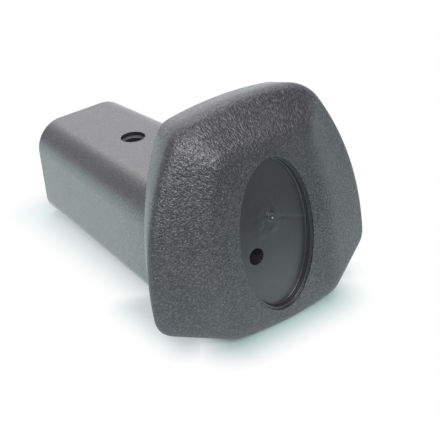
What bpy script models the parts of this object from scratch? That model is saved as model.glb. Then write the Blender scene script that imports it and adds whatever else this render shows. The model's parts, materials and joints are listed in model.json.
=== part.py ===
"""Gear shift knob, moulded in one piece: a faceted head that flares out of a squared, hollow stem.

The knob lies as it does on a table, on the foot of its head and the lower edge of its stem's end.
Before it is laid down, +X is to the right of the face, +Y back along the stem and +Z up the face,
with y = 0 at the rim, where the head is widest. Sizes are in metres.
"""
from collections import namedtuple
import math

import bmesh
import bpy
import numpy as np

# Head sections. Widths and heights reach to the corners before these are rounded, and a bow
# is how far an edge's arc stands out from the straight line between its two corners.
FACE_TOP_WIDTH = 0.0250
FACE_FOOT_WIDTH = 0.0304
FACE_HEIGHT = 0.0418
FACE_SIDE_BOW = 0.0013
FACE_TOP_BOW = 0.0008
FACE_FOOT_BOW = 0.0020
FACE_TOP_RADIUS = 0.0023
FACE_FOOT_RADIUS = 0.0038
FACE_DROP = 0.0068

RIM_TOP_WIDTH = 0.0361
RIM_FOOT_WIDTH = 0.0612
RIM_HEIGHT = 0.0437
RIM_SIDE_BOW = 0.0044
RIM_TOP_BOW = 0.0020
RIM_FOOT_BOW = 0.0060
RIM_TOP_RADIUS = 0.0122
RIM_FOOT_RADIUS = 0.0047

REAR_TOP_WIDTH = 0.0318
REAR_FOOT_WIDTH = 0.0476
REAR_HEIGHT = 0.0479
REAR_SIDE_BOW = 0.0042
REAR_TOP_BOW = 0.0014
REAR_FOOT_BOW = 0.0006
REAR_TOP_RADIUS = 0.0052
REAR_FOOT_RADIUS = 0.0094
REAR_DROP = 0.0033

FACET_DEPTH = 0.0065
WALL_DEPTH = 0.0098
FACE_EDGE = 0.0028
RIM_EDGE = 0.0022
REAR_EDGE = 0.0012

# Stem
STEM_END_WIDTH = 0.0280
STEM_END_HEIGHT = 0.0259
STEM_END_TOP_RADIUS = 0.0075
STEM_END_FOOT_RADIUS = 0.0050
STEM_HEAD_WIDTH = 0.0348
STEM_HEAD_HEIGHT = 0.0275
STEM_HEAD_TOP_RADIUS = 0.0090
STEM_HEAD_FOOT_RADIUS = 0.0034
STEM_LENGTH = 0.0590
STEM_DROP = 0.0130
STEM_LEAN = math.radians(5.2)
STEM_EDGE = 0.0005
FLARE = 0.0080

# Lever socket
SOCKET_WALL = 0.0032
SOCKET_TAPER = 0.0003
SOCKET_FLOOR = 0.0105

# Screw hole across the stem, with a shallow funnel from under its mouth down to the bore
SCREW_HOLE_DIAMETER = 0.0062
SCREW_BORE_DIAMETER = 0.0048
SCREW_LEDGE_DEPTH = 0.0010
SCREW_FUNNEL_FALL = 0.0004
SCREW_HOLE_INSET = 0.0259

# Oval seat of the insert, with a ledge round its rim
SEAT_SIDE_MARGIN = 0.0049
SEAT_TOP_MARGIN = 0.0039
SEAT_FOOT_MARGIN = 0.0040
SEAT_DEPTH = 0.0020
SEAT_LEDGE_DEPTH = 0.0006
SEAT_LEDGE_WIDTH = 0.0005
SEAT_TAPER = 0.0002

# Small hole in the seat's floor, left of and below the seat's middle, down to the socket
PIN_HOLE_DIAMETER = 0.0039
PIN_HOLE_LEFT = 0.0051
PIN_HOLE_DROP = 0.0039

# Trace of the mould's gate on the seat's floor: a low ring round a small dish
GATE_DIAMETER = 0.0025
GATE_HEIGHT = 0.0004
GATE_RISE = 0.0041

# Facets: segments of half an outline's edges and corners, of a lofted bend, and of the round cuts
EDGE_STEPS = 6
CORNER_STEPS = 8
BEND_STEPS = 4
FLARE_STEPS = 8
OVAL_STEPS = 72
HOLE_STEPS = 32

# A cutter runs this far past the face that it opens
OVERRUN = 0.0020
FLATTEST_BOW = 0.000001

Section = namedtuple(
    "Section", "y z lean top_width foot_width height side_bow top_bow foot_bow top_radius foot_radius"
)


def arc_through(start, end, bow):
    """Centre and radius of the arc from start to end that stands out to the right by bow."""
    bow = max(bow, FLATTEST_BOW)
    chord = end - start
    half = math.hypot(*chord) / 2
    outward = np.array([chord[1], -chord[0]]) / (2 * half)
    radius = (half * half + bow * bow) / (2 * bow)
    return (start + end) / 2 + outward * (bow - radius), radius


def fillet_centre(first, second, radius, corner):
    """Centre of the circle that touches two arcs from inside, at the crossing nearest to the corner."""
    reach_1 = first[1] - radius
    reach_2 = second[1] - radius
    between = second[0] - first[0]
    distance = math.hypot(*between)
    along = between / distance
    foot = (reach_1 ** 2 - reach_2 ** 2 + distance ** 2) / (2 * distance)
    side = math.sqrt(max(reach_1 ** 2 - foot ** 2, 0.0))
    normal = np.array([-along[1], along[0]])
    crossings = [first[0] + foot * along + sign * side * normal for sign in (-1, 1)]
    return min(crossings, key=lambda point: math.hypot(*(point - corner)))


def angle_from(centre, point):
    return math.atan2(point[1] - centre[1], point[0] - centre[0])


def arc_points(centre, radius, start, end, steps):
    """Points of an arc from angle start up to, but without, angle end."""
    turn = np.linspace(start, end, steps, endpoint=False)
    return np.column_stack([centre[0] + radius * np.cos(turn), centre[1] + radius * np.sin(turn)])


def outline(section):
    """Closed ring of points round a section: bowed foot, sides and top, joined by round corners."""
    half = section.height / 2
    foot = np.array([section.foot_width / 2, -half])
    top = np.array([section.top_width / 2, half])
    mirrored = np.array([-1, 1])
    room = 0.45 * min(section.top_width, section.foot_width, section.height)
    foot_radius = min(section.foot_radius, room)
    top_radius = min(section.top_radius, room)
    foot_arc = arc_through(foot * mirrored, foot, section.foot_bow)
    side_arc = arc_through(foot, top, section.side_bow)
    top_arc = arc_through(top, top * mirrored, section.top_bow)
    foot_corner = fillet_centre(side_arc, foot_arc, foot_radius, foot)
    top_corner = fillet_centre(side_arc, top_arc, top_radius, top)
    turns = [
        -math.pi / 2,
        angle_from(foot_arc[0], foot_corner),
        angle_from(side_arc[0], foot_corner),
        angle_from(side_arc[0], top_corner),
        angle_from(top_arc[0], top_corner),
        math.pi / 2,
    ]
    right = np.concatenate([
        arc_points(*foot_arc, turns[0], turns[1], EDGE_STEPS),
        arc_points(foot_corner, foot_radius, turns[1], turns[2], CORNER_STEPS),
        arc_points(*side_arc, turns[2], turns[3], 2 * EDGE_STEPS),
        arc_points(top_corner, top_radius, turns[3], turns[4], CORNER_STEPS),
        arc_points(*top_arc, turns[4], turns[5], EDGE_STEPS),
        [[0.0, half + section.top_bow]],
    ])
    ring = np.concatenate([right, right[-2:0:-1] * mirrored])
    y = section.y - ring[:, 1] * math.sin(section.lean)
    z = section.z + ring[:, 1] * math.cos(section.lean)
    return np.column_stack([ring[:, 0], y, z])


def blend(first, second, share):
    """Section part of the way from the first to the second."""
    return Section(*(a + (b - a) * share for a, b in zip(first, second)))


def inset(section, width):
    """Section drawn in by the same width on every side."""
    return section._replace(
        top_width=section.top_width - 2 * width,
        foot_width=section.foot_width - 2 * width,
        height=section.height - 2 * width,
        top_radius=max(section.top_radius - width, width / 2),
        foot_radius=max(section.foot_radius - width, width / 2),
    )


def toward(corner, target, reach):
    """Points a given reach from the corner ring toward the target ring, or halfway if that is nearer."""
    step = target - corner
    length = np.linalg.norm(step, axis=1, keepdims=True)
    return corner + step / length * np.minimum(reach, length / 2)


def soft_corner(back, corner, front, reach):
    """Rings of a rounded edge: a parabola from the back wall to the front one, past the corner ring."""
    start = toward(corner, back, reach)
    end = toward(corner, front, reach)
    shares = np.linspace(0, 1, BEND_STEPS + 1)
    return [(1 - t) ** 2 * start + 2 * t * (1 - t) * corner + t * t * end for t in shares]


FACE = Section(
    -FACET_DEPTH, -FACE_DROP, 0.0, FACE_TOP_WIDTH, FACE_FOOT_WIDTH, FACE_HEIGHT,
    FACE_SIDE_BOW, FACE_TOP_BOW, FACE_FOOT_BOW, FACE_TOP_RADIUS, FACE_FOOT_RADIUS,
)
RIM = Section(
    0.0, 0.0, 0.0, RIM_TOP_WIDTH, RIM_FOOT_WIDTH, RIM_HEIGHT,
    RIM_SIDE_BOW, RIM_TOP_BOW, RIM_FOOT_BOW, RIM_TOP_RADIUS, RIM_FOOT_RADIUS,
)
REAR = Section(
    WALL_DEPTH, -REAR_DROP, 0.0, REAR_TOP_WIDTH, REAR_FOOT_WIDTH, REAR_HEIGHT,
    REAR_SIDE_BOW, REAR_TOP_BOW, REAR_FOOT_BOW, REAR_TOP_RADIUS, REAR_FOOT_RADIUS,
)
STEM_HEAD = Section(
    WALL_DEPTH + FLARE, -STEM_DROP, 0.0, STEM_HEAD_WIDTH, STEM_HEAD_WIDTH, STEM_HEAD_HEIGHT,
    0.0, 0.0, 0.0, STEM_HEAD_TOP_RADIUS, STEM_HEAD_FOOT_RADIUS,
)


def along_stem(distance, up=0.0):
    """y and z of a point on the stem's axis, measured from the head end back, or that far above it."""
    y = STEM_HEAD.y + distance * math.cos(STEM_LEAN) - up * math.sin(STEM_LEAN)
    z = STEM_HEAD.z + distance * math.sin(STEM_LEAN) + up * math.cos(STEM_LEAN)
    return y, z


STEM_END = STEM_HEAD._replace(
    y=along_stem(STEM_LENGTH)[0],
    z=along_stem(STEM_LENGTH)[1],
    lean=STEM_LEAN,
    top_width=STEM_END_WIDTH,
    foot_width=STEM_END_WIDTH,
    height=STEM_END_HEIGHT,
    top_radius=STEM_END_TOP_RADIUS,
    foot_radius=STEM_END_FOOT_RADIUS,
)


def flare_rings():
    """Rings of the hollow bend that leads from the stem out to the head's rear edge."""
    rings = []
    for step in range(FLARE_STEPS + 1):
        turn = step / FLARE_STEPS * math.pi / 2
        section = blend(STEM_HEAD, REAR, 1 - math.cos(turn))
        rings.append(outline(section._replace(y=STEM_HEAD.y - FLARE * math.sin(turn))))
    return rings


def body_rings():
    """Every ring of the knob's skin, from the stem's end to the face."""
    flare = flare_rings()
    stem_end = outline(STEM_END)
    end_face = outline(inset(STEM_END, 2 * STEM_EDGE))
    rear = flare[-1]
    rim = outline(RIM)
    face = outline(FACE)
    face_middle = outline(inset(FACE, 2 * FACE_EDGE))
    rings = soft_corner(end_face, stem_end, flare[0], STEM_EDGE)
    rings += flare[:-1]
    rings += soft_corner(flare[-2], rear, rim, REAR_EDGE)
    rings += soft_corner(rear, rim, face, RIM_EDGE)
    rings += soft_corner(rim, face, face_middle, FACE_EDGE)
    return rings


def loft(name, rings):
    """Object skinned over rings of equal length, with both ends closed."""
    mesh = bpy.data.meshes.new(name)
    count = len(rings[0])
    points = np.concatenate(rings)
    faces = [tuple(range(count)), tuple(range(len(points) - count, len(points)))]
    for start in range(0, len(points) - count, count):
        for i in range(count):
            j = (i + 1) % count
            faces.append((start + i, start + j, start + count + j, start + count + i))
    mesh.from_pydata(points.tolist(), [], faces)
    skin = bmesh.new()
    skin.from_mesh(mesh)
    bmesh.ops.recalc_face_normals(skin, faces=skin.faces)
    skin.to_mesh(mesh)
    skin.free()
    mesh.shade_smooth()
    mesh.set_sharp_from_angle(angle=math.radians(30))
    solid = bpy.data.objects.new(name, mesh)
    bpy.context.collection.objects.link(solid)
    return solid


def oval(width, height, y, middle, steps=OVAL_STEPS, x=0.0):
    """Upright ring of points round an ellipse of that width and height."""
    turn = np.arange(steps) * 2 * math.pi / steps
    z = middle + height / 2 * np.sin(turn)
    return np.column_stack([x + width / 2 * np.cos(turn), np.full(steps, y), z])


def seat_frame():
    """Width, height and middle of the oval seat, from the margins that it leaves on the face."""
    width = (FACE.top_width + FACE.foot_width) / 2 + 2 * (FACE.side_bow - SEAT_SIDE_MARGIN)
    top = FACE.z + FACE.height / 2 + FACE.top_bow - SEAT_TOP_MARGIN
    foot = FACE.z - FACE.height / 2 - FACE.foot_bow + SEAT_FOOT_MARGIN
    return width, top - foot, (top + foot) / 2


def seat_floor():
    """Where the seat's floor lies along the knob's axis."""
    return FACE.y + SEAT_DEPTH


def seat_cutter():
    """Oval seat with a narrow ledge round its rim and a slightly tapered wall below it."""
    width, height, middle = seat_frame()
    ledge = FACE.y + SEAT_LEDGE_DEPTH
    inner = 2 * SEAT_LEDGE_WIDTH
    floor = inner + 2 * SEAT_TAPER
    return loft("seat_cutter", [
        oval(width, height, FACE.y - OVERRUN, middle),
        oval(width, height, ledge, middle),
        oval(width - inner, height - inner, ledge, middle),
        oval(width - floor, height - floor, seat_floor(), middle),
    ])


def gate_trace():
    """Low ring round a dish, standing on the seat's floor with its root in the material."""
    middle = seat_frame()[2] + GATE_RISE
    floor = seat_floor()
    crest = floor - GATE_HEIGHT
    sizes = [
        (GATE_DIAMETER, floor + OVERRUN),
        (GATE_DIAMETER, floor),
        (GATE_DIAMETER * 0.84, crest),
        (GATE_DIAMETER * 0.62, crest),
        (GATE_DIAMETER * 0.38, floor - GATE_HEIGHT / 4),
    ]
    return loft("gate_trace", [oval(size, size, y, middle, HOLE_STEPS) for size, y in sizes])


def socket_depth():
    """Distance from the stem's head end forward to the socket's blind end."""
    return (STEM_HEAD.y - seat_floor() - SOCKET_FLOOR) / math.cos(STEM_LEAN)


def socket_cutter():
    """Squared socket down the stem's axis, tapered a little toward its blind end."""
    mouth = inset(STEM_END, SOCKET_WALL)
    narrow = inset(mouth, SOCKET_TAPER)
    outside = along_stem(STEM_LENGTH + OVERRUN)
    blind = along_stem(-socket_depth())
    return loft("socket_cutter", [
        outline(mouth._replace(y=outside[0], z=outside[1])),
        outline(mouth),
        outline(narrow._replace(y=blind[0], z=blind[1])),
    ])


def pin_hole_cutter():
    """Small hole from the seat's floor back into the socket."""
    middle = seat_frame()[2] - PIN_HOLE_DROP
    back = seat_floor() + SOCKET_FLOOR + STEM_HEAD_HEIGHT / 2 * math.tan(STEM_LEAN) + OVERRUN
    size = PIN_HOLE_DIAMETER
    return loft("pin_hole_cutter", [
        oval(size, size, y, middle, HOLE_STEPS, -PIN_HOLE_LEFT) for y in (seat_floor() - OVERRUN, back)
    ])


def across_stem(diameter, distance, up):
    """Ring of points round a hole that stands square on the stem's axis."""
    turn = np.arange(HOLE_STEPS) * 2 * math.pi / HOLE_STEPS
    y, z = along_stem(distance, up)
    reach = diameter / 2 * np.sin(turn)
    return np.column_stack([
        diameter / 2 * np.cos(turn),
        y + reach * math.cos(STEM_LEAN),
        z + reach * math.sin(STEM_LEAN),
    ])


def screw_hole_cutter():
    """Hole down through the stem's upper wall into the socket, narrowing to its bore in a funnel."""
    distance = STEM_LENGTH - SCREW_HOLE_INSET
    share = distance / STEM_LENGTH
    surface = (STEM_HEAD_HEIGHT + (STEM_END_HEIGHT - STEM_HEAD_HEIGHT) * share) / 2
    ledge = surface - SCREW_LEDGE_DEPTH
    return loft("screw_hole_cutter", [
        across_stem(SCREW_BORE_DIAMETER, distance, 0.0),
        across_stem(SCREW_BORE_DIAMETER, distance, ledge - SCREW_FUNNEL_FALL),
        across_stem(SCREW_HOLE_DIAMETER, distance, ledge),
        across_stem(SCREW_HOLE_DIAMETER, distance, surface + OVERRUN),
    ])


def rest_tilt(points):
    """Turn about X that lays the body on the lowest point of its head and of its stem's end."""
    y = points[:, 1]
    z = points[:, 2]
    on_head = y < (STEM_HEAD.y + STEM_END.y) / 2
    turn = 0.0
    for _ in range(8):
        height = y * math.sin(turn) + z * math.cos(turn)
        head = np.argmin(np.where(on_head, height, np.inf))
        end = np.argmin(np.where(on_head, np.inf, height))
        turn = -math.atan2(z[end] - z[head], y[end] - y[head])
    return turn


def lay_down(parts, points):
    """Parents the parts to an empty that tilts them to rest on z = 0, centred over the origin."""
    turn = rest_tilt(points)
    y = points[:, 1] * math.cos(turn) - points[:, 2] * math.sin(turn)
    z = points[:, 1] * math.sin(turn) + points[:, 2] * math.cos(turn)
    rest = bpy.data.objects.new("rest_frame", None)
    bpy.context.collection.objects.link(rest)
    rest.rotation_euler.x = turn
    rest.location = (0.0, -(y.min() + y.max()) / 2, -z.min())
    for part in parts:
        part.parent = rest


def moulded_plastic():
    """Dark charcoal moulded plastic with a satin skin."""
    material = bpy.data.materials.new("moulded_plastic")
    material.use_nodes = True
    skin = material.node_tree.nodes["Principled BSDF"]
    skin.inputs["Base Color"].default_value = (0.050, 0.054, 0.058, 1.0)
    skin.inputs["Roughness"].default_value = 0.45
    skin.inputs["Metallic"].default_value = 0.0
    return material


def combine(body, tool, operation):
    """Adds the tool to the body, or cuts it out, and hides the tool itself."""
    change = body.modifiers.new(tool.name, "BOOLEAN")
    change.operation = operation
    change.solver = "EXACT"
    change.object = tool
    tool.hide_render = True
    tool.display_type = "WIRE"


def main():
    for item in list(bpy.data.objects):
        bpy.data.objects.remove(item, do_unlink=True)
    rings = body_rings()
    knob = loft("shift_knob", rings)
    knob.data.materials.append(moulded_plastic())
    cutters = [seat_cutter(), socket_cutter(), pin_hole_cutter(), screw_hole_cutter()]
    for cutter in cutters:
        combine(knob, cutter, "DIFFERENCE")
    trace = gate_trace()
    combine(knob, trace, "UNION")
    lay_down([knob, trace, *cutters], np.concatenate(rings))


main()
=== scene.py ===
"""Looks of the moulded gear shift knob: its fine skin, its finish and the studio it lies in."""
import json
import math

import bmesh
import bpy
import numpy as np
from bpy.props import FloatProperty, FloatVectorProperty, IntProperty, PointerProperty, StringProperty
from mathutils import Matrix, Vector

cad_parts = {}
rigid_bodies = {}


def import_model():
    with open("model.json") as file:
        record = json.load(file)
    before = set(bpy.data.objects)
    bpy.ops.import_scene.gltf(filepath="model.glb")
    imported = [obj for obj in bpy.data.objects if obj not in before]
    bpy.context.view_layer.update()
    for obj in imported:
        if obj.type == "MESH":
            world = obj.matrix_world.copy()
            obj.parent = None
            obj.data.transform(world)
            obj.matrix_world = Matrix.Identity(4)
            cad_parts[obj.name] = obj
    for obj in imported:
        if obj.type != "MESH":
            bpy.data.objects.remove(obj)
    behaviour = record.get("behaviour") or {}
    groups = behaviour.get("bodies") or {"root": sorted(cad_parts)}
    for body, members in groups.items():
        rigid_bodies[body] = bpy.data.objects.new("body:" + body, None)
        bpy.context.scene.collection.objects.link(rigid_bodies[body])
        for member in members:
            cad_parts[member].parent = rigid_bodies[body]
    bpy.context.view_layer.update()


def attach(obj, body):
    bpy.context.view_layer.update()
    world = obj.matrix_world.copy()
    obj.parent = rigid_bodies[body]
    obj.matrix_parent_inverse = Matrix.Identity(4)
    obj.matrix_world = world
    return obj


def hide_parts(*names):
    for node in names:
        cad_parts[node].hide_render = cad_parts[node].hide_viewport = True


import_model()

bl_info = {
    "name": "Moulded Gear Shift Knob",
    "version": (1, 0, 0),
    "blender": (4, 5, 0),
    "location": "3D View > Sidebar > Knob",
    "description": "Builds the skin, the finish and the studio of a moulded gear shift knob",
    "category": "Object",
}

MM = 0.001


def length(name, millimetres, description):
    """Property that holds a length."""
    return FloatProperty(
        name=name, description=description, default=millimetres * MM, min=0.0, unit="LENGTH", precision=5
    )


def share(name, default, description):
    """Property that holds a share from 0 to 1."""
    return FloatProperty(name=name, description=description, default=default, min=0.0, max=1.0, subtype="FACTOR")


def angle(name, degrees, description):
    """Property that holds an angle."""
    return FloatProperty(name=name, description=description, default=math.radians(degrees), subtype="ANGLE")


def colour(name, code, description):
    """Property that holds a colour as its sRGB hex code."""
    return StringProperty(name=name, description=description, default=code)


class FaceSection(bpy.types.PropertyGroup):
    """Outline of the flat face that stands in front of the facets."""

    top_width: length("Top width", 25.0, "Width between the upper corners, before rounding")
    foot_width: length("Foot width", 30.4, "Width between the lower corners, before rounding")
    height: length("Height", 41.8, "Height between the corners, before rounding")
    side_bow: length("Side bow", 1.3, "How far each side's arc stands out")
    top_bow: length("Top bow", 0.8, "How far the top's arc stands out")
    foot_bow: length("Foot bow", 2.0, "How far the foot's arc stands out")
    top_radius: length("Upper radius", 2.3, "Rounding of the upper corners")
    foot_radius: length("Lower radius", 3.8, "Rounding of the lower corners")
    drop: length("Drop", 6.8, "Distance of the outline's middle below the rim's")
    distance: length("Depth", 6.5, "Distance of the face in front of the rim")
    edge: length("Edge reach", 2.8, "How far the rounded edge reaches to each side")


class RimSection(bpy.types.PropertyGroup):
    """Outline of the rim, where the head is widest."""

    top_width: length("Top width", 36.1, "Width between the upper corners, before rounding")
    foot_width: length("Foot width", 61.2, "Width between the lower corners, before rounding")
    height: length("Height", 43.7, "Height between the corners, before rounding")
    side_bow: length("Side bow", 4.4, "How far each side's arc stands out")
    top_bow: length("Top bow", 2.0, "How far the top's arc stands out")
    foot_bow: length("Foot bow", 6.0, "How far the foot's arc stands out")
    top_radius: length("Upper radius", 12.2, "Rounding of the upper corners")
    foot_radius: length("Lower radius", 4.7, "Rounding of the lower corners")
    edge: length("Edge reach", 2.2, "How far the rounded edge reaches to each side")


class RearSection(bpy.types.PropertyGroup):
    """Outline of the head's rear edge, where the flare ends."""

    top_width: length("Top width", 31.8, "Width between the upper corners, before rounding")
    foot_width: length("Foot width", 47.6, "Width between the lower corners, before rounding")
    height: length("Height", 47.9, "Height between the corners, before rounding")
    side_bow: length("Side bow", 4.2, "How far each side's arc stands out")
    top_bow: length("Top bow", 1.4, "How far the top's arc stands out")
    foot_bow: length("Foot bow", 0.6, "How far the foot's arc stands out")
    top_radius: length("Upper radius", 5.2, "Rounding of the upper corners")
    foot_radius: length("Lower radius", 9.4, "Rounding of the lower corners")
    drop: length("Drop", 3.3, "Distance of the outline's middle below the rim's")
    distance: length("Depth", 9.8, "Distance of the rear edge behind the rim")
    edge: length("Edge reach", 1.2, "How far the rounded edge reaches to each side")


class StemSizes(bpy.types.PropertyGroup):
    """Squared hollow stem with its lever socket and screw hole."""

    end_width: length("End width", 28.0, "Width of the stem at its open end")
    end_height: length("End height", 25.9, "Height of the stem at its open end")
    end_top_radius: length("End upper radius", 7.5, "Rounding of the upper edges at the open end")
    end_foot_radius: length("End lower radius", 5.0, "Rounding of the lower edges at the open end")
    head_width: length("Head end width", 34.8, "Width of the stem where the flare starts")
    head_height: length("Head end height", 27.5, "Height of the stem where the flare starts")
    head_top_radius: length("Head end upper radius", 9.0, "Rounding of the upper edges where the flare starts")
    head_foot_radius: length("Head end lower radius", 3.4, "Rounding of the lower edges where the flare starts")
    length: length("Length", 59.0, "Length of the straight stem")
    drop: length("Drop", 13.0, "Distance of the stem's axis below the rim's middle, where the flare starts")
    lean: angle("Lean", 5.2, "Angle between the stem and the head's axis")
    edge: length("End edge", 0.5, "How far the rounded edge of the open end reaches")
    flare: length("Flare", 8.0, "Depth of the hollow bend between the stem and the head")
    wall: length("Socket wall", 3.2, "Wall round the socket's mouth")
    taper: length("Socket taper", 0.3, "How much each side of the socket narrows toward its blind end")
    floor: length("Socket floor", 10.5, "Material between the socket's blind end and the seat")
    hole_mouth: length("Screw hole mouth", 6.2, "Diameter of the screw hole above its funnel")
    hole_bore: length("Screw hole bore", 4.8, "Diameter of the screw hole below its funnel")
    hole_ledge: length("Screw hole funnel", 1.0, "Depth of the funnel's outer edge under the stem's surface")
    hole_fall: length("Screw hole fall", 0.4, "How far the funnel falls toward the bore")
    hole_inset: length("Screw hole inset", 25.9, "Distance of the screw hole from the open end")


class SeatSizes(bpy.types.PropertyGroup):
    """Oval seat of the lost insert, with the small hole and the gate's trace on its floor."""

    side_margin: length("Side margin", 4.9, "Face left of and right of the seat")
    top_margin: length("Top margin", 3.9, "Face above the seat")
    foot_margin: length("Foot margin", 4.0, "Face below the seat")
    depth: length("Depth", 2.0, "Depth of the seat's floor below the face")
    ledge_depth: length("Ledge depth", 0.6, "Depth of the ledge round the seat")
    ledge_width: length("Ledge width", 0.5, "Width of the ledge round the seat")
    taper: length("Taper", 0.2, "How much the wall below the ledge leans in")
    edge: length("Edge", 0.25, "How far the small rounded edges of the seat reach")
    pin_hole: length("Small hole", 3.9, "Diameter of the small hole")
    pin_left: length("Small hole left", 5.1, "Distance of the small hole left of the seat's middle")
    pin_drop: length("Small hole drop", 3.9, "Distance of the small hole below the seat's middle")
    gate: length("Gate trace", 2.5, "Diameter of the gate's ring")
    gate_height: length("Gate height", 0.4, "Height of the gate's ring")
    gate_rise: length("Gate rise", 4.1, "Distance of the gate's trace above the seat's middle")


class SkinGrid(bpy.types.PropertyGroup):
    """How finely the skin is cut up."""

    edge_steps: IntProperty(name="Edge steps", description="Columns along half a top or foot edge", default=14)
    corner_steps: IntProperty(name="Corner steps", description="Columns round one corner", default=20)
    bend_steps: IntProperty(name="Bend steps", description="Rows over one rounded edge", default=8)
    flare_steps: IntProperty(name="Flare steps", description="Rows over the flare", default=24)
    row_gap: length("Row gap", 0.8, "Largest distance between two rows on a straight wall")
    hole_steps: IntProperty(name="Hole steps", description="Sides of a drilled hole", default=64)
    smooth_end: FloatProperty(
        name="Smooth end", description="Depth behind the rim where the smooth skin ends",
        default=7.0 * MM, unit="LENGTH", precision=5,
    )
    grain_start: FloatProperty(
        name="Grain start", description="Depth behind the rim where the full grain starts",
        default=-0.5 * MM, unit="LENGTH", precision=5,
    )
    face_grain: share("Face grain", 0.8, "Share of the facets' grain that the flat face has")
    stem_grain: share("Stem grain", 0.45, "Share of the facets' grain that the stem has next to the head")


class PlasticLook(bpy.types.PropertyGroup):
    """Colours and textures of the plastic."""

    skin: colour("Skin", "#313137", "Charcoal of the moulded skin")
    # Painted highlight: this paler charcoal on the grain's crests stands for their glint; in the cloudy patches it
    # is the plastic's own uneven tone.
    crest_glint_and_haze: colour("Crest glint and haze", "#5A5A62", "Paler charcoal on the crests of the grain and in cloudy patches")
    seat: colour("Seat", "#3A3B41", "Charcoal of the smooth seat")
    grain: length("Grain", 0.4, "Distance between two wrinkles of the grained skin")
    grain_height: length("Grain height", 0.3, "Height that the whole range of the noise would have")
    stretch: share("Stretch", 0.26, "Share of the wrinkles' length, away from the middle, that the noise sees")
    middle: length("Middle", 24.0, "Height of the point that the wrinkles run toward")
    haze: length("Haze", 9.0, "Width of the cloudy patches in the plastic")
    flow_line: length("Flow line", 0.9, "Half the width of the flow line beside the gate")
    flow_depth: length("Flow depth", 0.16, "Height that the seat's flow marks would have at full strength")
    flow_fall: share("Flow fall", 0.42, "How much the flow line falls per distance to the right")


class StudioLook(bpy.types.PropertyGroup):
    """Camera, floor and lamps."""

    azimuth: angle("Azimuth", -35.013, "Camera's turn from the front toward the left")
    elevation: angle("Elevation", 29.660, "Camera's height above the floor, as an angle")
    roll: angle("Roll", -4.609, "Camera's turn about its own axis")
    distance: length("Distance", 263.4, "Camera's distance from its target")
    target: FloatVectorProperty(
        name="Target", description="Point in the middle of the picture",
        default=(-0.007508, -0.029321, 0.024435), subtype="TRANSLATION",
    )
    lens: FloatProperty(name="Lens", description="Focal length on a 36 mm sensor, in millimetres", default=96.95)
    floor: colour("Floor", "#D4F2F1", "White of the floor, a little green where it is shaded")
    far_floor: colour("Far floor", "#606060", "Grey of the dim floor in front, away from the knob")
    mirrored: colour("Mirrored floor", "#EEFFFD", "White of the floor as the plastic mirrors it")
    stem_shadow: length("Stem shadow", 14.0, "Reach of the shadow beside the stem's footprint")
    head_shadow: length("Head shadow", 10.0, "Reach of the shadow round the head's footprint")
    face_shadow: length("Face shadow", 14.0, "Reach of the shadow in front of the face's foot")
    shadow_lift: share("Shadow lift", 0.42, "Share of white in the shadows beside the knob")
    front_start: FloatProperty(
        name="Front start", description="Depth in front of the middle where reflections of the floor start to dim",
        default=-0.058, unit="LENGTH", precision=5,
    )
    front_end: FloatProperty(
        name="Front end", description="Depth in front of the middle where they are dimmest",
        default=-0.098, unit="LENGTH", precision=5,
    )
    front_light: share("Front light", 0.0, "Share of white that is left in the dimmest reflections")
    right_start: length("Right start", 62.0, "Distance to the right where the floor in front turns lighter again")
    right_end: length("Right end", 78.0, "Distance to the right where it has its full right light")
    right_light: share("Right light", 0.5, "Share of white in reflections of the floor at the right")
    front_room: FloatProperty(name="Front room", description="Strength of the light from the front", default=0.18)
    rear_room: FloatProperty(name="Rear room", description="Strength of the light from behind", default=0.45)
    glow: FloatProperty(name="Glow", description="Strength of the light from the bright part", default=0.92)
    glow_side: FloatVectorProperty(
        name="Glow side", description="Direction of the bright part's middle", default=(0.50, 0.80, 0.25),
    )
    glow_start: FloatProperty(name="Glow start", description="Cosine at the bright part's outer edge", default=0.62)
    glow_end: FloatProperty(name="Glow end", description="Cosine at the bright part's inner edge", default=1.0)


def linear(code):
    """Linear red, green, blue and alpha of an sRGB hex code."""
    channels = np.array([int(code[i:i + 2], 16) for i in (1, 3, 5)]) / 255
    low = channels / 12.92
    high = ((channels + 0.055) / 1.055) ** 2.4
    return (*np.where(channels <= 0.04045, low, high), 1.0)


# Section rows hold, in this order: y, z, lean, top width, foot width, height, side bow, top bow,
# foot bow, upper radius, lower radius. A point is kept as x, y, z, grain and polish.

def section(y, z, group, lean=0.0):
    """Row of numbers for one outline whose sizes are in a property group."""
    return np.array([
        y, z, lean, group.top_width, group.foot_width, group.height, group.side_bow, group.top_bow,
        group.foot_bow, group.top_radius, group.foot_radius,
    ])


def squared(y, z, width, height, top_radius, foot_radius, lean=0.0):
    """Section row of a straight-sided outline that is as wide at its foot as at its top."""
    return np.array([y, z, lean, width, width, height, 0.0, 0.0, 0.0, top_radius, foot_radius])


def inset(row, width):
    """Section row drawn in by the same width on every side."""
    drawn = row.copy()
    drawn[3:6] -= 2 * width
    drawn[9:11] = np.maximum(drawn[9:11] - width, width / 2)
    return drawn


def arc_through(start, end, bow):
    """Centres and radii of arcs between complex points that stand out to the right by bow.

    The radius is (half chord squared + bow squared) / (2 bow), and the centre lies that far in
    from the arc's crown, on the chord's perpendicular."""
    bow = np.maximum(bow, 1e-6)
    chord = end - start
    half = np.abs(chord) / 2
    outward = -1j * chord / (2 * half)
    radius = (half ** 2 + bow ** 2) / (2 * bow)
    return (start + end) / 2 + outward * (bow - radius), radius


def fillet(first, second, radius, corner):
    """Centres of circles of the given radii that touch two arcs from inside, next to the corner.

    They lie where circles of the arcs' radii less the fillet's cross each other."""
    reach_1 = first[1] - radius
    reach_2 = second[1] - radius
    between = second[0] - first[0]
    gap = np.abs(between)
    foot = (reach_1 ** 2 - reach_2 ** 2 + gap ** 2) / (2 * gap)
    side = np.sqrt(np.maximum(reach_1 ** 2 - foot ** 2, 0))
    one = first[0] + between / gap * (foot + 1j * side)
    other = first[0] + between / gap * (foot - 1j * side)
    return np.where(np.abs(one - corner) < np.abs(other - corner), one, other)


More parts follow.
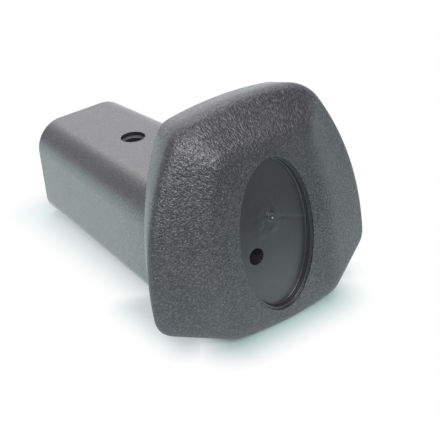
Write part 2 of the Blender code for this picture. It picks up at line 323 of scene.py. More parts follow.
def arc_points(centre, radius, start, end, steps):
    """Points centre + radius * e^(i angle), for angles from start up to but without end."""
    turn = start[:, None] + (end - start)[:, None] * np.arange(steps) / steps
    return centre[:, None] + radius[:, None] * np.exp(1j * turn)


def outlines(rows, grid, grain, polish):
    """Rings of points round section rows: bowed foot, sides and top, joined by round corners.

    Five arcs make the right half, from the foot's middle to the top's, and the left half mirrors it.
    A leaning section is turned about its own level middle line. Result: rows x columns x 5."""
    rows = np.atleast_2d(rows)
    y, z, lean, top_width, foot_width, height, side_bow, top_bow, foot_bow, top_radius, foot_radius = rows.T
    foot = foot_width / 2 - 0.5j * height
    top = top_width / 2 + 0.5j * height
    foot_arc = arc_through(-foot.conj(), foot, foot_bow)
    side_arc = arc_through(foot, top, side_bow)
    top_arc = arc_through(top, -top.conj(), top_bow)
    foot_corner = fillet(side_arc, foot_arc, foot_radius, foot)
    top_corner = fillet(side_arc, top_arc, top_radius, top)
    quarter = np.full(len(rows), math.pi / 2)
    turns = [
        -quarter,
        np.angle(foot_corner - foot_arc[0]),
        np.angle(foot_corner - side_arc[0]),
        np.angle(top_corner - side_arc[0]),
        np.angle(top_corner - top_arc[0]),
        quarter,
    ]
    right = np.concatenate([
        arc_points(*foot_arc, turns[0], turns[1], grid.edge_steps),
        arc_points(foot_corner, foot_radius, turns[1], turns[2], grid.corner_steps),
        arc_points(*side_arc, turns[2], turns[3], 2 * grid.edge_steps),
        arc_points(top_corner, top_radius, turns[3], turns[4], grid.corner_steps),
        arc_points(*top_arc, turns[4], turns[5], grid.edge_steps),
        (0.5j * height + 1j * top_bow)[:, None],
    ], axis=1)
    ring = np.concatenate([right, -right[:, -2:0:-1].conj()], axis=1)
    points = np.empty((*ring.shape, 5))
    points[..., 0] = ring.real
    points[..., 1] = y[:, None] - ring.imag * np.sin(lean)[:, None]
    points[..., 2] = z[:, None] + ring.imag * np.cos(lean)[:, None]
    points[..., 3] = grain
    points[..., 4] = polish
    return points


def toward(corner, target, reach):
    """Points a reach from one ring toward another, or halfway if that is nearer."""
    step = target - corner
    distance = np.linalg.norm(step[:, :3], axis=1, keepdims=True)
    return corner + step / distance * np.minimum(reach, distance / 2)


def soft_skin(rings, reaches, grid):
    """Rows of a skin along a path of rings, with a parabola over each ring that has a reach.

    A parabola is (1-t)^2 start + 2t(1-t) corner + t^2 end, where start and end lie the reach away
    on either side, and a straight wall in between is cut into rows no further apart than the gap."""
    t = np.linspace(0, 1, grid.bend_steps + 1)[:, None, None]
    pieces = [rings[0][None]]
    last = rings[0]
    for index in range(1, len(rings)):
        corner = rings[index]
        rounded = index < len(rings) - 1 and reaches[index] > 0
        start = toward(corner, rings[index - 1], reaches[index]) if rounded else corner
        distance = np.linalg.norm((start - last)[:, :3], axis=1).max()
        count = max(int(math.ceil(distance / grid.row_gap)), 1)
        steps = (np.arange(1, count + 1) / count)[:, None, None]
        pieces.append(last + (start - last) * steps)
        last = start
        if rounded:
            end = toward(corner, rings[index + 1], reaches[index])
            bend = (1 - t) ** 2 * start + 2 * t * (1 - t) * corner + t * t * end
            pieces.append(bend[1:])
            last = end
    return np.concatenate(pieces)


def stem_point(stem, rear, along, up=0.0):
    """y and z of a point on the stem's axis, that far behind the flare's start, or that far above it."""
    y = rear.distance + stem.flare + along * math.cos(stem.lean) - up * math.sin(stem.lean)
    z = -stem.drop + along * math.sin(stem.lean) + up * math.cos(stem.lean)
    return y, z


def seat_frame(face, seat):
    """Width, height and middle of the oval seat, from the margins that it leaves on the face."""
    width = (face.top_width + face.foot_width) / 2 + 2 * (face.side_bow - seat.side_margin)
    top = -face.drop + face.height / 2 + face.top_bow - seat.top_margin
    foot = -face.drop - face.height / 2 - face.foot_bow + seat.foot_margin
    return width, top - foot, (top + foot) / 2


def oval(width, height, y, middle, bearings, polish):
    """Ring of points round an ellipse, at the given bearings of its columns."""
    points = np.zeros((len(bearings), 5))
    points[:, 0] = width / 2 * np.cos(bearings)
    points[:, 1] = y
    points[:, 2] = middle + height / 2 * np.sin(bearings)
    points[:, 4] = polish
    return points


def socket_rings(sizes, grid):
    """Rings from the socket's blind end out to its mouth, and how far each is rounded."""
    stem, rear, face, seat = sizes.stem, sizes.rear, sizes.face, sizes.seat
    floor_y = -face.distance + seat.depth
    depth = (rear.distance + stem.flare - floor_y - stem.floor) / math.cos(stem.lean)
    blind_y, blind_z = stem_point(stem, rear, -depth)
    end_y, end_z = stem_point(stem, rear, stem.length)
    end = squared(
        end_y, end_z, stem.end_width, stem.end_height, stem.end_top_radius, stem.end_foot_radius, stem.lean
    )
    mouth = inset(end, stem.wall)
    narrow = inset(mouth, stem.taper)
    narrow[0:2] = blind_y, blind_z
    pole = inset(narrow, 0.0)
    pole[3:6] = MM * 0.02
    pole[9:11] = MM * 0.005
    rows = np.array([pole, narrow, mouth, inset(end, 2 * stem.edge), end])
    return list(outlines(rows, grid, 0.0, 1.0)), [0, MM, stem.edge, 0, stem.edge]


def head_rings(sizes, grid):
    """Rings from the flare's start over the rear edge, the rim and the facets to the face."""
    stem, rear, rim, face = sizes.stem, sizes.rear, sizes.rim, sizes.face
    start = squared(
        rear.distance + stem.flare, -stem.drop, stem.head_width, stem.head_height,
        stem.head_top_radius, stem.head_foot_radius,
    )
    end = section(rear.distance, -rear.drop, rear)
    turn = np.linspace(0, math.pi / 2, grid.flare_steps + 1)
    flare = start + (end - start) * (1 - np.cos(turn))[:, None]
    flare[:, 0] = start[0] - stem.flare * np.sin(turn)
    rings = list(outlines(flare, grid, 0.0, 1.0))
    for ring, part in zip(rings, 1 - np.cos(turn)):
        ring[:, 3] = part
        ring[:, 4] = 1 - part
    face_row = section(-face.distance, -face.drop, face)
    rings += list(outlines([section(0.0, 0.0, rim), face_row], grid, 1.0, 0.0))
    reaches = [0] * grid.flare_steps + [rear.edge, rim.edge, face.edge]
    return rings, reaches


def seat_rings(sizes, face_ring):
    """Rings from the seat's rim over its ledge and wall to its floor, which closes on the gate's trace.

    The gate's trace is a low ring: its height follows the rings' distance from its own middle."""
    face, seat = sizes.face, sizes.seat
    width, height, middle = seat_frame(face, seat)
    bearings = np.arctan2((face_ring[:, 2] - middle) / height, face_ring[:, 0] / width)
    ledge = -face.distance + seat.ledge_depth
    floor = -face.distance + seat.depth
    inner = 2 * seat.ledge_width
    base = inner + 2 * seat.taper
    rim = oval(width, height, -face.distance, middle, bearings, 0.0)
    rings = [
        rim,
        oval(width, height, ledge, middle, bearings, 0.0),
        oval(width - inner, height - inner, ledge, middle, bearings, 0.0),
        oval(width - base, height - base, floor, middle, bearings, 0.0),
    ]
    rim[:, 3] = 0.0
    reaches = [seat.edge, seat.edge / 2, seat.edge / 2, seat.edge]
    around = np.arctan2(rings[-1][:, 2] - middle - seat.gate_rise, rings[-1][:, 0])
    profile = [(1.0, 0.0), (0.84, 1.0), (0.62, 1.0), (0.38, 0.25), (0.01, 0.1)]
    for size, rise in profile:
        y = floor - seat.gate_height * rise
        rings.append(oval(seat.gate * size, seat.gate * size, y, middle + seat.gate_rise, around, 0.0))
        reaches.append(seat.gate * 0.05)
    return rings, reaches


def skin_rows(sizes, grid):
    """Whole skin as one grid, from the socket's blind end round to the middle of the gate's trace.

    Its grain grows and its polish fades along a smooth step, 3t^2 - 2t^3, from behind the rim to
    just in front of it. The flat face has a share of the facets' grain, and so has the stem, where
    it fades out toward the open end."""
    socket, socket_reaches = socket_rings(sizes, grid)
    head, head_reaches = head_rings(sizes, grid)
    seat, seat_reaches = seat_rings(sizes, head[-1])
    rows = soft_skin(socket + head + seat, socket_reaches + head_reaches + seat_reaches, grid)
    t = np.clip((grid.smooth_end - rows[..., 1]) / (grid.smooth_end - grid.grain_start), 0, 1)
    rows[..., 3] = t * t * (3 - 2 * t)
    rows[..., 4] = 1 - rows[..., 3]
    on_stem = np.clip(1 - (rows[..., 1] - grid.smooth_end) / (sizes.stem.length / 2), 0, 1)
    rows[..., 3] += grid.stem_grain * on_stem * rows[..., 4]
    off_face = np.clip((rows[..., 1] + sizes.face.distance) / MM, 0, 1)
    rows[..., 3] *= grid.face_grain + (1 - grid.face_grain) * off_face
    return rows


def rest_turn(rows, split):
    """Turn about X that lays the skin on the lowest points in front of and behind the split."""
    y = rows[..., 1].ravel()
    z = rows[..., 2].ravel()
    on_head = y < split
    turn = 0.0
    for _ in range(8):
        height = y * math.sin(turn) + z * math.cos(turn)
        head = np.argmin(np.where(on_head, height, np.inf))
        end = np.argmin(np.where(on_head, np.inf, height))
        turn = -math.atan2(z[end] - z[head], y[end] - y[head])
    return turn


def rest_matrix(rows, split):
    """Matrix that tilts the skin to rest and centres it over the origin, on z = 0."""
    turn = rest_turn(rows, split)
    tilt = np.array(Matrix.Rotation(turn, 3, "X"))
    turned = rows[..., :3].reshape(-1, 3) @ tilt.T
    low = turned.min(axis=0)
    high = turned.max(axis=0)
    shift = Vector((0.0, -(low[1] + high[1]) / 2, -low[2]))
    return Matrix.Translation(shift) @ Matrix.Rotation(turn, 4, "X")


def grid_mesh(name, rows):
    """Mesh of a grid that is closed round its columns and capped at its first and last rows."""
    count, columns = rows.shape[:2]
    index = np.arange(count * columns).reshape(count, columns)
    ahead = np.roll(index, -1, axis=1)
    quads = np.stack([index[:-1], index[1:], ahead[1:], ahead[:-1]], axis=-1).reshape(-1, 4)
    mesh = bpy.data.meshes.new(name)
    caps = [index[0].tolist(), index[-1][::-1].tolist()]
    mesh.from_pydata(rows[..., :3].reshape(-1, 3).tolist(), [], quads.tolist() + caps)
    for layer, column in (("grain", 3), ("polish", 4)):
        values = mesh.attributes.new(layer, "FLOAT", "POINT")
        values.data.foreach_set("value", rows[..., column].ravel().astype(np.float32))
    work = bmesh.new()
    work.from_mesh(mesh)
    bmesh.ops.recalc_face_normals(work, faces=work.faces)
    work.to_mesh(mesh)
    work.free()
    return mesh


def add_object(name, mesh):
    """Object at the origin for a mesh that already lies in its place."""
    item = bpy.data.objects.new(name, mesh)
    bpy.context.scene.collection.objects.link(item)
    return item


def drill(rings):
    """Closed tube over a few rings, as a tool for a Boolean cut."""
    return grid_mesh("drill", np.array(rings))


def screw_drill(sizes, steps):
    """Drill that stands square on the stem's axis: bore up to the funnel, then the wider mouth."""
    stem, rear = sizes.stem, sizes.rear
    along = stem.length - stem.hole_inset
    part = along / stem.length
    surface = (stem.head_height + (stem.end_height - stem.head_height) * part) / 2
    turn = np.arange(steps) * 2 * math.pi / steps
    rings = []
    for size, up in (
        (stem.hole_bore, 0.0),
        (stem.hole_bore, surface - stem.hole_ledge - stem.hole_fall),
        (stem.hole_mouth, surface - stem.hole_ledge),
        (stem.hole_mouth, surface + 2 * MM),
    ):
        y, z = stem_point(stem, rear, along, up)
        reach = size / 2 * np.sin(turn)
        ring = np.zeros((steps, 5))
        ring[:, 0] = size / 2 * np.cos(turn)
        ring[:, 1] = y + reach * math.cos(stem.lean)
        ring[:, 2] = z + reach * math.sin(stem.lean)
        rings.append(ring)
    return drill(rings)


def pin_drill(sizes, steps):
    """Plain drill from the seat's floor back into the socket."""
    stem, face, seat = sizes.stem, sizes.face, sizes.seat
    middle = seat_frame(face, seat)[2] - seat.pin_drop
    floor = -face.distance + seat.depth
    back = floor + stem.floor + stem.head_height / 2 * math.tan(stem.lean) + 2 * MM
    turn = np.arange(steps) * 2 * math.pi / steps
    rings = [oval(seat.pin_hole, seat.pin_hole, y, middle, turn, 0.0) for y in (floor - 2 * MM, back)]
    for ring in rings:
        ring[:, 0] -= seat.pin_left
    return drill(rings)


def add_node(tree, kind, inputs=(), **settings):
    """Adds a node, sets its settings, and gives each named input a value or a link."""
    node = tree.nodes.new(kind)
    for key, value in settings.items():
        setattr(node, key, value)
    for key, value in dict(inputs).items():
        if isinstance(value, bpy.types.NodeSocket):
            tree.links.new(value, node.inputs[key])
        else:
            node.inputs[key].default_value = value
    return node


def new_material(name):
    """Empty material: its node tree, its shader and its output."""
    material = bpy.data.materials.new(name)
    material.use_nodes = True
    tree = material.node_tree
    tree.nodes.clear()
    shader = tree.nodes.new("ShaderNodeBsdfPrincipled")
    output = tree.nodes.new("ShaderNodeOutputMaterial")
    tree.links.new(shader.outputs["BSDF"], output.inputs["Surface"])
    return material, tree, shader


def per_metre(width):
    """Scale of a texture whose features are that wide."""
    return 1.0 / width


def moulded_skin(look):
    """Glass-filled nylon, injection moulded in a tool with an etched leather grain on the head.

    It gives a satin charcoal that turns pale at a slant, with fine pebbles that glint on the head
    and a smoother stem. The grain's crests are tinted paler as a painted highlight, and the hollows
    between them reflect less as painted shade."""
    material, tree, shader = new_material("moulded_nylon_skin")
    place = add_node(tree, "ShaderNodeTexCoord").outputs["Object"]
    grain = add_node(tree, "ShaderNodeAttribute", attribute_name="grain").outputs["Fac"]
    flat = add_node(tree, "ShaderNodeVectorMath", {0: place, 1: (0.0, 0.0, -look.middle)}, operation="ADD")
    flat = add_node(tree, "ShaderNodeVectorMath", {0: flat.outputs[0], 1: (1.0, 0.0, 1.0)}, operation="MULTIPLY")
    radius = add_node(tree, "ShaderNodeVectorMath", {0: flat.outputs[0]}, operation="LENGTH").outputs["Value"]
    around = add_node(tree, "ShaderNodeVectorMath", {0: flat.outputs[0]}, operation="NORMALIZE")
    around = add_node(tree, "ShaderNodeVectorMath", {0: around.outputs[0], "Scale": look.middle},
                      operation="SCALE")
    depth = add_node(tree, "ShaderNodeSeparateXYZ", {"Vector": place}).outputs["Y"]
    along = add_node(tree, "ShaderNodeMath", {0: depth, 1: 2.0, 2: radius}, operation="MULTIPLY_ADD")
    along = add_node(tree, "ShaderNodeMath", {0: along.outputs[0], 1: look.stretch}, operation="MULTIPLY")
    along = add_node(tree, "ShaderNodeCombineXYZ", {"Y": along.outputs[0]})
    spread = add_node(tree, "ShaderNodeVectorMath", {0: around.outputs[0], 1: along.outputs[0]}, operation="ADD")
    wrinkles = add_node(tree, "ShaderNodeTexNoise", {
        "Vector": spread.outputs[0], "Scale": per_metre(look.grain), "Detail": 1.0, "Distortion": 0.6,
    })
    pebbles = add_node(tree, "ShaderNodeTexNoise", {
        "Vector": place, "Scale": per_metre(look.grain), "Detail": 1.0, "Distortion": 0.6,
    })
    facets = add_node(tree, "ShaderNodeMapRange", {
        "Value": grain, "From Min": 0.8, "From Max": 1.0, "To Min": 0.1, "To Max": 0.9,
    })
    height = add_node(tree, "ShaderNodeSeparateXYZ", {"Vector": place}).outputs["Z"]
    raised = add_node(tree, "ShaderNodeMapRange", {
        "Value": height, "From Min": look.middle, "From Max": look.middle * 1.8, "To Min": 0.35,
    })
    wrinkled = add_node(tree, "ShaderNodeMath", {0: facets.outputs[0], 1: raised.outputs[0]},
                        operation="MULTIPLY")
    relief = add_node(tree, "ShaderNodeMix", {
        "Factor": wrinkled.outputs[0], "A": pebbles.outputs["Fac"], "B": wrinkles.outputs["Fac"],
    })
    strength = add_node(tree, "ShaderNodeMapRange", {"Value": grain, "To Min": 0.2, "To Max": 1.0})
    bump = add_node(tree, "ShaderNodeBump", {
        "Height": relief.outputs[0], "Strength": strength.outputs[0], "Distance": look.grain_height,
    })
    haze = add_node(tree, "ShaderNodeTexNoise", {
        "Vector": place, "Scale": per_metre(look.haze), "Detail": 3.0,
    })
    # Painted highlight: the grain's crests are tinted paler, more on the head, to stand for their glint; the haze
    # adds cloudy patches of the plastic's own tone.
    crests = add_node(tree, "ShaderNodeMapRange", {
        "Value": relief.outputs[0], "From Min": 0.5, "From Max": 0.72, "To Max": 1.6,
    })
    crest_glint = add_node(tree, "ShaderNodeMapRange", {"Value": grain, "To Min": 0.5, "To Max": 1.0})
    crests = add_node(tree, "ShaderNodeMath", {
        0: crests.outputs[0], 1: crest_glint.outputs[0], 2: haze.outputs["Fac"],
    }, operation="MULTIPLY_ADD")
    tint = add_node(tree, "ShaderNodeMapRange", {
        "Value": crests.outputs[0], "From Min": 0.35, "From Max": 1.75,
    })
    base = add_node(tree, "ShaderNodeMix", {
        "Factor": tint.outputs[0], "A": linear(look.skin), "B": linear(look.crest_glint_and_haze),
    }, data_type="RGBA")
    rough = add_node(tree, "ShaderNodeMapRange", {"Value": grain, "To Min": 0.34, "To Max": 0.42})
    polish = add_node(tree, "ShaderNodeAttribute", attribute_name="polish").outputs["Fac"]
    mottled = add_node(tree, "ShaderNodeMath", {0: polish, 1: grain}, operation="MULTIPLY")
    # Painted shade: the grain's hollows get a darker specular tint and a thinner coat, as if shade fell in them. It
    # is deepest where the polished stem has grain.
    deepest_shade = add_node(tree, "ShaderNodeMapRange", {
        "Value": mottled.outputs[0], "From Max": 0.4, "To Min": 0.82, "To Max": 0.5,
    })
    hollow_shade = add_node(tree, "ShaderNodeMapRange", {
        "Value": relief.outputs[0], "From Min": 0.36, "From Max": 0.58, "To Min": deepest_shade.outputs[0],
    })
    coat = add_node(tree, "ShaderNodeMath", {0: polish, 1: hollow_shade.outputs[0]}, operation="MULTIPLY")
    tree.links.new(coat.outputs[0], shader.inputs["Coat Weight"])
    tree.links.new(hollow_shade.outputs[0], shader.inputs["Specular Tint"])
    shader.inputs["Coat Roughness"].default_value = 0.3
    shader.inputs["Coat IOR"].default_value = 1.6
    shader.inputs["IOR"].default_value = 1.65
    shader.inputs["Specular IOR Level"].default_value = 1.0
    tree.links.new(base.outputs[2], shader.inputs["Base Color"])
    tree.links.new(rough.outputs[0], shader.inputs["Roughness"])
    tree.links.new(bump.outputs[0], shader.inputs["Normal"])
    tree.links.new(bump.outputs[0], shader.inputs["Coat Normal"])
    return material


def seat_plastic(look, gate):
    """The same nylon where the tool was polished: the seat's floor, walls and the holes. On the screw
    hole's wall it also stands in as painted shade, so that the hole looks darker.

    It gives a smooth, darker satin with soft flow clouds, strongest round the gate, and a faint
    flow line that runs from the gate to the right."""
    material, tree, shader = new_material("moulded_nylon_seat")
    place = add_node(tree, "ShaderNodeTexCoord").outputs["Object"]
    clouds = add_node(tree, "ShaderNodeTexNoise", {
        "Vector": place, "Scale": per_metre(look.haze * 0.3), "Detail": 2.0,
    })
    aside = add_node(tree, "ShaderNodeVectorMath", {0: place, 1: gate}, operation="SUBTRACT").outputs[0]
    away = add_node(tree, "ShaderNodeVectorMath", {0: aside}, operation="LENGTH").outputs["Value"]
    marks = add_node(tree, "ShaderNodeMapRange", {
        "Value": away, "From Max": look.haze * 0.8, "To Min": 2.5, "To Max": 0.3,
    }, interpolation_type="SMOOTHSTEP")
    cloudy = add_node(tree, "ShaderNodeMath", {0: clouds.outputs["Fac"], 1: marks.outputs[0]},
                      operation="MULTIPLY")
    spot = add_node(tree, "ShaderNodeSeparateXYZ", {"Vector": aside})
    upright = add_node(tree, "ShaderNodeMath", {0: spot.outputs["X"], 1: look.flow_fall, 2: spot.outputs["Z"]},
                       operation="MULTIPLY_ADD")
    upright = add_node(tree, "ShaderNodeMath", {0: upright.outputs[0]}, operation="ABSOLUTE")
    line = add_node(tree, "ShaderNodeMapRange", {
        "Value": upright.outputs[0], "From Max": look.flow_line, "To Min": 0.35, "To Max": 0.0,
    }, interpolation_type="SMOOTHSTEP")
    length_wise = add_node(tree, "ShaderNodeMapRange", {
        "Value": spot.outputs["X"], "From Min": 1.2 * MM, "From Max": 2.4 * MM,
    })
    line = add_node(tree, "ShaderNodeMath", {0: line.outputs[0], 1: length_wise.outputs[0]},
                    operation="MULTIPLY")
    height = add_node(tree, "ShaderNodeMath", {0: cloudy.outputs[0], 1: line.outputs[0]}, operation="SUBTRACT")
    tint = add_node(tree, "ShaderNodeMapRange", {
        "Value": clouds.outputs["Fac"], "From Min": 0.3, "From Max": 0.8,
    })
    base = add_node(tree, "ShaderNodeMix", {
        "Factor": tint.outputs[0], "A": linear(look.seat), "B": linear(look.skin),
    }, data_type="RGBA")
    waves = add_node(tree, "ShaderNodeBump", {
        "Height": height.outputs[0], "Strength": 0.8, "Distance": look.flow_depth,
    })
    rough = add_node(tree, "ShaderNodeMapRange", {"Value": clouds.outputs["Fac"], "To Min": 0.32, "To Max": 0.42})
    shader.inputs["IOR"].default_value = 1.6
    shader.inputs["Specular IOR Level"].default_value = 1.0
    tree.links.new(base.outputs[2], shader.inputs["Base Color"])
    tree.links.new(rough.outputs[0], shader.inputs["Roughness"])
    tree.links.new(waves.outputs[0], shader.inputs["Normal"])
    return material


def floor_card(look):
    """White card under the knob. It keeps the knob's shadow nearby and is plain white further off.

    What the camera and glossy surfaces see of it is part card and part white of strength 1: the
    white's share grows with the distance from the knob's footprint."""
    material, tree, shader = new_material("white_card")
    shader.inputs["Roughness"].default_value = 0.9
    shader.inputs["Specular IOR Level"].default_value = 0.1
    place = add_node(tree, "ShaderNodeTexCoord").outputs["Object"]
    fade = 1.0
    for low, high, lift, reach in (
        ((-0.012, -0.014, -1.0), (0.012, 0.042, 1.0), look.shadow_lift, look.stem_shadow),
        ((-0.021, -0.033, -1.0), (0.021, -0.014, 1.0), look.shadow_lift, look.head_shadow),
        ((-0.012, -0.039, -1.0), (0.012, -0.030, 1.0), 0.0, look.face_shadow),
    ):
        near = add_node(tree, "ShaderNodeVectorMath", {0: place, 1: low}, operation="MAXIMUM")
        nearest = add_node(tree, "ShaderNodeVectorMath", {0: near.outputs[0], 1: high}, operation="MINIMUM")
        away = add_node(tree, "ShaderNodeVectorMath", {0: place, 1: nearest.outputs[0]}, operation="DISTANCE")
        part = add_node(tree, "ShaderNodeMapRange", {
            "Value": away.outputs["Value"], "From Max": reach, "To Min": lift,
        }, interpolation_type="SMOOTHSTEP")
        fade = add_node(tree, "ShaderNodeMath", {0: fade, 1: part.outputs[0]}, operation="MINIMUM").outputs[0]
    rays = add_node(tree, "ShaderNodeLightPath")
    camera = add_node(tree, "ShaderNodeMath", {0: rays.outputs["Is Camera Ray"], 1: fade}, operation="MULTIPLY")
    seen = add_node(tree, "ShaderNodeMath", {0: camera.outputs[0], 1: rays.outputs["Is Glossy Ray"]},
                    operation="MAXIMUM")
    spot = add_node(tree, "ShaderNodeSeparateXYZ", {"Vector": place})
    front = add_node(tree, "ShaderNodeMapRange", {
        "Value": spot.outputs["Y"], "From Min": look.front_end, "From Max": look.front_start,
        "To Min": look.front_light, "To Max": 1.0,
    }, interpolation_type="SMOOTHSTEP")
    right = add_node(tree, "ShaderNodeMapRange", {
        "Value": spot.outputs["X"], "From Min": look.right_start, "From Max": look.right_end,
        "To Max": look.right_light,
    }, interpolation_type="SMOOTHSTEP")
    strength = add_node(tree, "ShaderNodeMath", {0: front.outputs[0], 1: right.outputs[0]}, operation="MAXIMUM")
    strength = add_node(tree, "ShaderNodeMix", {
        "Factor": rays.outputs["Is Camera Ray"], "A": strength.outputs[0], "B": 1.0,
    })
    card = add_node(tree, "ShaderNodeMix", {
        "Factor": strength.outputs[0], "A": linear(look.far_floor), "B": linear(look.floor),
    }, data_type="RGBA")
    tree.links.new(card.outputs[2], shader.inputs["Base Color"])
    hue = add_node(tree, "ShaderNodeMix", {
        "Factor": rays.outputs["Is Camera Ray"], "A": linear(look.mirrored), "B": (1.0, 1.0, 1.0, 1.0),
    }, data_type="RGBA")
    white = add_node(tree, "ShaderNodeEmission", {"Color": hue.outputs[2], "Strength": strength.outputs[0]})
    both = add_node(tree, "ShaderNodeMixShader", {
        0: seen.outputs[0], 1: shader.outputs["BSDF"], 2: white.outputs[0],
    })
    output = next(node for node in tree.nodes if node.type == "OUTPUT_MATERIAL")
    tree.links.new(both.outputs[0], output.inputs["Surface"])
    return material


class KNOB_OT_skin(bpy.types.Operator):
    """Build the knob's fine skin with its holes and finish"""

    bl_idname = "knob.skin"
    bl_label = "Moulded skin"

    def execute(self, context):
        sizes = context.scene.knob_sizes
        grid = sizes.grid
        rows = skin_rows(sizes, grid)
        split = stem_point(sizes.stem, sizes.rear, sizes.stem.length / 2)[0]
        place = rest_matrix(rows, split)
        skin = add_object("knob_skin", grid_mesh("knob_skin", rows))
        drills = [screw_drill(sizes, grid.hole_steps), pin_drill(sizes, grid.hole_steps)]
        for number, mesh in enumerate(drills):
            tool = add_object(f"drill_{number}", mesh)
            cut = skin.modifiers.new(tool.name, "BOOLEAN")
            cut.operation = "DIFFERENCE"
            cut.solver = "EXACT"
            cut.object = tool
        shaped = bpy.data.meshes.new_from_object(skin.evaluated_get(context.evaluated_depsgraph_get()))
        skin.modifiers.clear()
        skin.data = shaped
        for tool in [item for item in bpy.data.objects if item.name.startswith("drill_")]:
            bpy.data.objects.remove(tool, do_unlink=True)
        shaped.transform(place)
        shaped.shade_smooth()
        shaped.set_sharp_from_angle(angle=math.radians(35))
        look = context.scene.plastic_look
        shaped.materials.clear()
        shaped.materials.append(moulded_skin(look))
        face, seat = sizes.face, sizes.seat
        gate = place @ Vector((0.0, seat.depth - face.distance, seat_frame(face, seat)[2] + seat.gate_rise))
        shaped.materials.append(seat_plastic(look, gate))
        self.paint(shaped, sizes, place)
        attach(skin, "root")
        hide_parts("shift_knob")
        return {"FINISHED"}

    @staticmethod
    def paint(mesh, sizes, place):
        """Gives the smooth plastic to the seat, and to the wall of the screw hole as painted shade that makes the
        hole darker.
        """
        count = len(mesh.polygons)
        centres = np.empty(count * 3)
        mesh.polygons.foreach_get("center", centres)
        local = centres.reshape(-1, 3) - np.array(place.translation)
        local = local @ np.array(place.to_3x3())
        width, height, middle = seat_frame(sizes.face, sizes.seat)
        in_oval = (2 * local[:, 0] / width) ** 2 + (2 * (local[:, 2] - middle) / height) ** 2 < 0.9995
        in_seat = in_oval & (local[:, 1] < 0)
        stem = sizes.stem
        y, z = stem_point(stem, sizes.rear, stem.length - stem.hole_inset)
        along = (local[:, 1] - y) * math.cos(stem.lean) + (local[:, 2] - z) * math.sin(stem.lean)
        near_hole = np.hypot(local[:, 0], along) < stem.hole_mouth / 2 + 0.02 * MM
        # Painted shade: the screw hole's wall takes the uncoated seat plastic so that the hole looks darker.
        hole_shade_mask = near_hole & (local[:, 2] > z)
        mesh.polygons.foreach_set("material_index", (in_seat | hole_shade_mask).astype(np.int32))


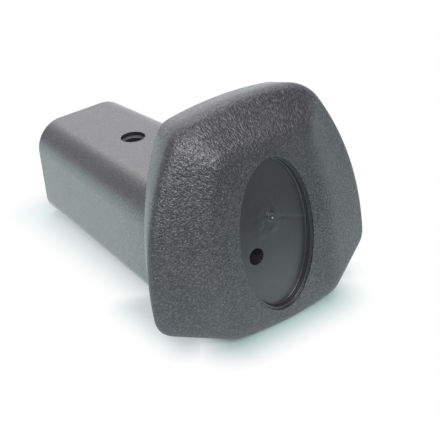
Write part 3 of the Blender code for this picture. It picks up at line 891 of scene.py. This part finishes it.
class KNOB_OT_stage(bpy.types.Operator):
    """Set up the floor, the lamps, the world and the camera"""

    bl_idname = "knob.stage"
    bl_label = "Studio"

    def execute(self, context):
        look = context.scene.studio_look
        self.floor(look)
        self.lamps(context)
        self.world(context, look)
        self.camera(context, look)
        context.scene.view_settings.view_transform = "Standard"
        return {"FINISHED"}

    @staticmethod
    def floor(look):
        size = 3.0
        corners = [(-size, -size, 0), (size, -size, 0), (size, size, 0), (-size, size, 0)]
        mesh = bpy.data.meshes.new("floor")
        mesh.from_pydata(corners, [], [(0, 1, 2, 3)])
        mesh.materials.append(floor_card(look))
        add_object("floor", mesh)

    @staticmethod
    def lamps(context):
        # name, direction from the knob, distance, width, height, radiance, colour
        lamps = [
            ("key_softbox", (-0.28, -0.74, 0.60), 0.8, 0.42, 0.42, 6.2, "#FFFFFF"),
            ("top_softbox", (0.30, 0.45, 1.0), 1.0, 1.0, 1.0, 1.2, "#FFFDFA"),
        ]
        for name, direction, distance, width, height, radiance, code in lamps:
            lamp = bpy.data.lights.new(name, "AREA")
            lamp.shape = "RECTANGLE"
            lamp.size = width
            lamp.size_y = height
            lamp.color = linear(code)[:3]
            lamp.energy = radiance * math.pi * width * height
            item = bpy.data.objects.new(name, lamp)
            toward_lamp = Vector(direction).normalized()
            item.matrix_world = Matrix.Translation(toward_lamp * distance) @ \
                toward_lamp.to_track_quat("Z", "Y").to_matrix().to_4x4()
            context.scene.collection.objects.link(item)

    @staticmethod
    def world(context, look):
        """Grey room with a large soft bright part; the camera sees plain white."""
        world = bpy.data.worlds.new("studio")
        world.use_nodes = True
        tree = world.node_tree
        tree.nodes.clear()
        rays = add_node(tree, "ShaderNodeLightPath")
        bearing = add_node(tree, "ShaderNodeTexCoord").outputs["Generated"]
        near = add_node(tree, "ShaderNodeVectorMath", {0: bearing, 1: Vector(look.glow_side).normalized()},
                        operation="DOT_PRODUCT")
        depth = add_node(tree, "ShaderNodeSeparateXYZ", {"Vector": bearing}).outputs["Y"]
        room = add_node(tree, "ShaderNodeMapRange", {
            "Value": depth, "From Min": -0.6, "From Max": 0.6, "To Min": look.front_room, "To Max": look.rear_room,
        }, interpolation_type="SMOOTHSTEP")
        part = add_node(tree, "ShaderNodeMapRange", {
            "Value": near.outputs["Value"], "From Min": look.glow_start, "From Max": look.glow_end,
        }, interpolation_type="SMOOTHSTEP")
        glow = add_node(tree, "ShaderNodeMix", {"Factor": part.outputs[0], "A": room.outputs[0], "B": look.glow})
        shade = add_node(tree, "ShaderNodeBackground", {
            "Color": (0.98, 0.98, 1.0, 1.0), "Strength": glow.outputs[0],
        })
        white = add_node(tree, "ShaderNodeBackground", {"Color": (1.0, 1.0, 1.0, 1.0), "Strength": 1.0})
        both = add_node(tree, "ShaderNodeMixShader", {
            0: rays.outputs["Is Camera Ray"], 1: shade.outputs[0], 2: white.outputs[0],
        })
        add_node(tree, "ShaderNodeOutputWorld", {"Surface": both.outputs[0]})
        context.scene.world = world

    @staticmethod
    def camera(context, look):
        across = math.cos(look.elevation)
        back = Vector((
            math.sin(look.azimuth) * across, -math.cos(look.azimuth) * across, math.sin(look.elevation),
        ))
        level = Vector((-back.y, back.x, 0.0)).normalized()
        upright = back.cross(level)
        right = level * math.cos(look.roll) + upright * math.sin(look.roll)
        up = back.cross(right)
        turn = Matrix((right, up, back)).transposed().to_4x4()
        lens = bpy.data.cameras.new("camera")
        lens.lens = look.lens
        lens.sensor_width = 36
        lens.clip_start = 0.01
        eye = bpy.data.objects.new("camera", lens)
        eye.matrix_world = Matrix.Translation(Vector(look.target) + back * look.distance) @ turn
        context.scene.collection.objects.link(eye)
        context.scene.camera = eye


class KnobSizes(bpy.types.PropertyGroup):
    """All sizes of the knob."""

    face: PointerProperty(type=FaceSection)
    rim: PointerProperty(type=RimSection)
    rear: PointerProperty(type=RearSection)
    stem: PointerProperty(type=StemSizes)
    seat: PointerProperty(type=SeatSizes)
    grid: PointerProperty(type=SkinGrid)


class KNOB_PT_panel(bpy.types.Panel):
    """Sidebar panel that lists the steps"""

    bl_idname = "KNOB_PT_panel"
    bl_label = "Gear shift knob"
    bl_space_type = "VIEW_3D"
    bl_region_type = "UI"
    bl_category = "Knob"

    def draw(self, context):
        for step in STEPS:
            self.layout.operator(step.bl_idname)
        for group in (context.scene.plastic_look, context.scene.studio_look):
            for name in group.__annotations__:
                self.layout.prop(group, name)


STEPS = (KNOB_OT_skin, KNOB_OT_stage)
CLASSES = (
    FaceSection, RimSection, RearSection, StemSizes, SeatSizes, SkinGrid, PlasticLook, StudioLook, KnobSizes,
    *STEPS, KNOB_PT_panel,
)
GROUPS = {"knob_sizes": KnobSizes, "plastic_look": PlasticLook, "studio_look": StudioLook}


def register():
    for cls in CLASSES:
        bpy.utils.register_class(cls)
    for name, group in GROUPS.items():
        setattr(bpy.types.Scene, name, PointerProperty(type=group))


def unregister():
    for name in GROUPS:
        delattr(bpy.types.Scene, name)
    for cls in reversed(CLASSES):
        bpy.utils.unregister_class(cls)


def main():
    register()
    bpy.ops.knob.skin()
    bpy.ops.knob.stage()


if __name__ == "__main__":
    main()
